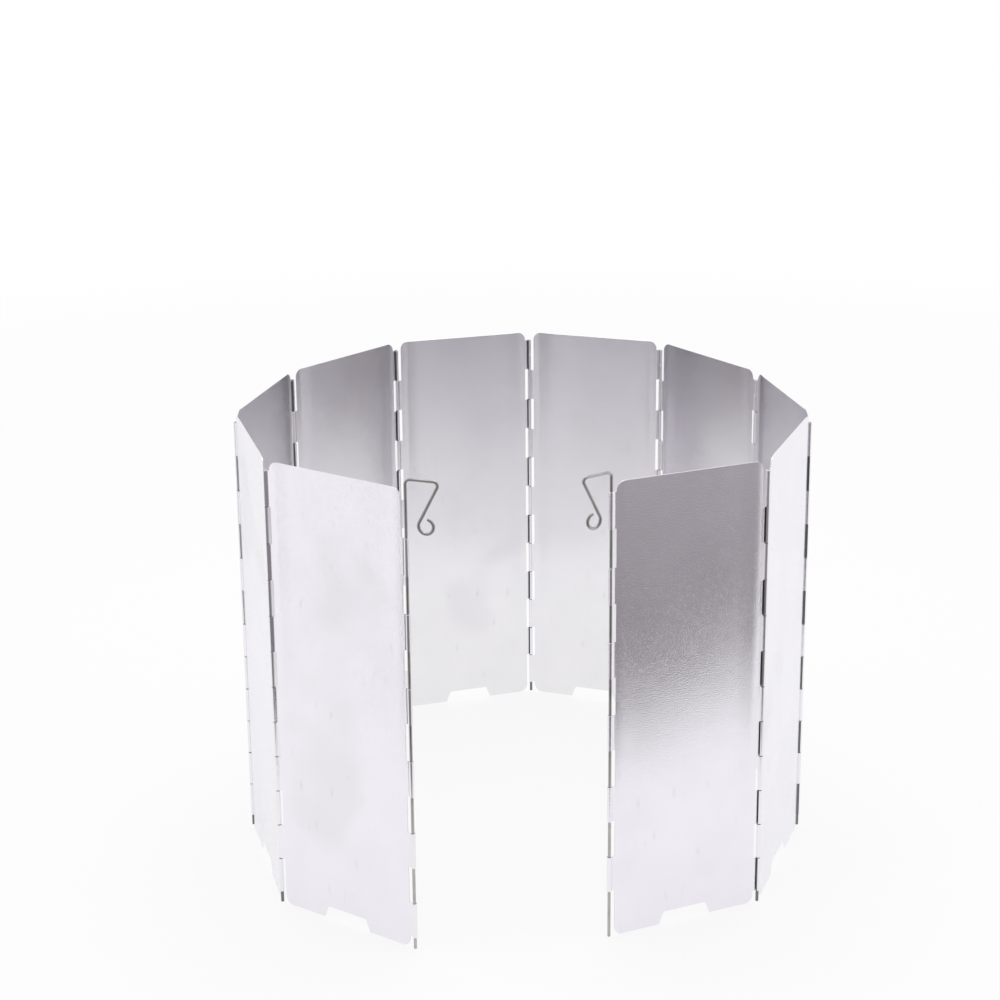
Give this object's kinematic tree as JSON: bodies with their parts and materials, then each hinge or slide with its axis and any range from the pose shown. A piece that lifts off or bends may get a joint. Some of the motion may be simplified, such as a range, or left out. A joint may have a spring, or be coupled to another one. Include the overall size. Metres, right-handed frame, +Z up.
{
  "type": "folding camp stove windscreen",
  "caption": "Folding sheet-aluminium windscreen that stands as an open ring round a camp stove, with wire-pinned knuckle hinges and wire ground stakes.",
  "frame": {"origin": "centre of the footprint, on the ground", "axes": "+X to the right when looking into the open front, +Y to the closed back, +Z up; the gap between the end plates faces -Y"},
  "size_m": [0.3062, 0.3006, 0.2458],
  "materials": {
    "plate_sheet": "bare satin mill finish",
    "pin_wire": "drawn wire",
    "stake_wire": "bright drawn wire"
  },
  "bodies": {
    "leaf_1": {"panel_1": "plate_sheet", "hinge_pin_1": "pin_wire"},
    "leaf_2": {"panel_2": "plate_sheet", "hinge_pin_2": "pin_wire"},
    "leaf_3": {"panel_3": "plate_sheet", "hinge_pin_3": "pin_wire"},
    "leaf_4": {"panel_4": "plate_sheet", "hinge_pin_4": "pin_wire"},
    "leaf_5": {"panel_5": "plate_sheet", "hinge_pin_5": "pin_wire"},
    "leaf_6": {"panel_6": "plate_sheet", "hinge_pin_6": "pin_wire"},
    "leaf_7": {"panel_7": "plate_sheet", "hinge_pin_7": "pin_wire"},
    "leaf_8": {"panel_8": "plate_sheet", "hinge_pin_8": "pin_wire"},
    "leaf_9": {"panel_9": "plate_sheet", "hinge_pin_9": "pin_wire"},
    "leaf_10": {"panel_10": "plate_sheet"},
    "stake_left": {"ground_stake_left": "stake_wire"},
    "stake_right": {"ground_stake_right": "stake_wire"}
  },
  "joints": [
    {"name": "fold_1", "type": "hinge", "parent": "leaf_2", "child": "leaf_1", "pos_m": [-0.12383, -0.10212, 0.12], "axis": [0, 0, 1], "range_deg": [-209.8, 130.2]},
    {"name": "fold_2", "type": "hinge", "parent": "leaf_3", "child": "leaf_2", "pos_m": [-0.15187, -0.02294, 0.12], "axis": [0, 0, 1], "range_deg": [-201.8, 0]},
    {"name": "fold_3", "type": "hinge", "parent": "leaf_4", "child": "leaf_3", "pos_m": [-0.13398, 0.05913, 0.12], "axis": [0, 0, 1], "range_deg": [0, 142.6]},
    {"name": "fold_4", "type": "hinge", "parent": "leaf_5", "child": "leaf_4", "pos_m": [-0.08032, 0.12376, 0.12], "axis": [0, 0, 1], "range_deg": [-202.8, 0]},
    {"name": "fold_5", "type": "hinge", "parent": "leaf_5", "child": "leaf_6", "pos_m": [-0.00021, 0.14902, 0.12], "axis": [0, 0, -1], "range_deg": [0, 135.7]},
    {"name": "fold_6", "type": "hinge", "parent": "leaf_6", "child": "leaf_7", "pos_m": [0.08021, 0.12474, 0.12], "axis": [0, 0, -1], "range_deg": [-205.4, 0]},
    {"name": "fold_7", "type": "hinge", "parent": "leaf_7", "child": "leaf_8", "pos_m": [0.13169, 0.05837, 0.12], "axis": [0, 0, -1], "range_deg": [0, 146.1]},
    {"name": "fold_8", "type": "hinge", "parent": "leaf_8", "child": "leaf_9", "pos_m": [0.15187, -0.02317, 0.12], "axis": [0, 0, -1], "range_deg": [-204.8, 0]},
    {"name": "fold_9", "type": "hinge", "parent": "leaf_9", "child": "leaf_10", "pos_m": [0.1219, -0.10164, 0.12], "axis": [0, 0, -1], "range_deg": [-216.2, 123.8]},
    {"name": "stake_left_slide", "type": "slide", "parent": "leaf_1", "child": "stake_left", "axis": [0, 0, 1], "range_m": [-0.025, 0.2]},
    {"name": "stake_right_slide", "type": "slide", "parent": "leaf_10", "child": "stake_right", "axis": [0, 0, 1], "range_m": [-0.0065, 0.2]}
  ],
  "couplings": [
    {"joint": "fold_2", "follows": "fold_5", "ratio": -1.4871},
    {"joint": "fold_3", "follows": "fold_5", "ratio": 1.0508},
    {"joint": "fold_4", "follows": "fold_5", "ratio": -1.4944},
    {"joint": "fold_6", "follows": "fold_5", "ratio": -1.5136},
    {"joint": "fold_7", "follows": "fold_5", "ratio": 1.0766},
    {"joint": "fold_8", "follows": "fold_5", "ratio": -1.5092}
  ]
}
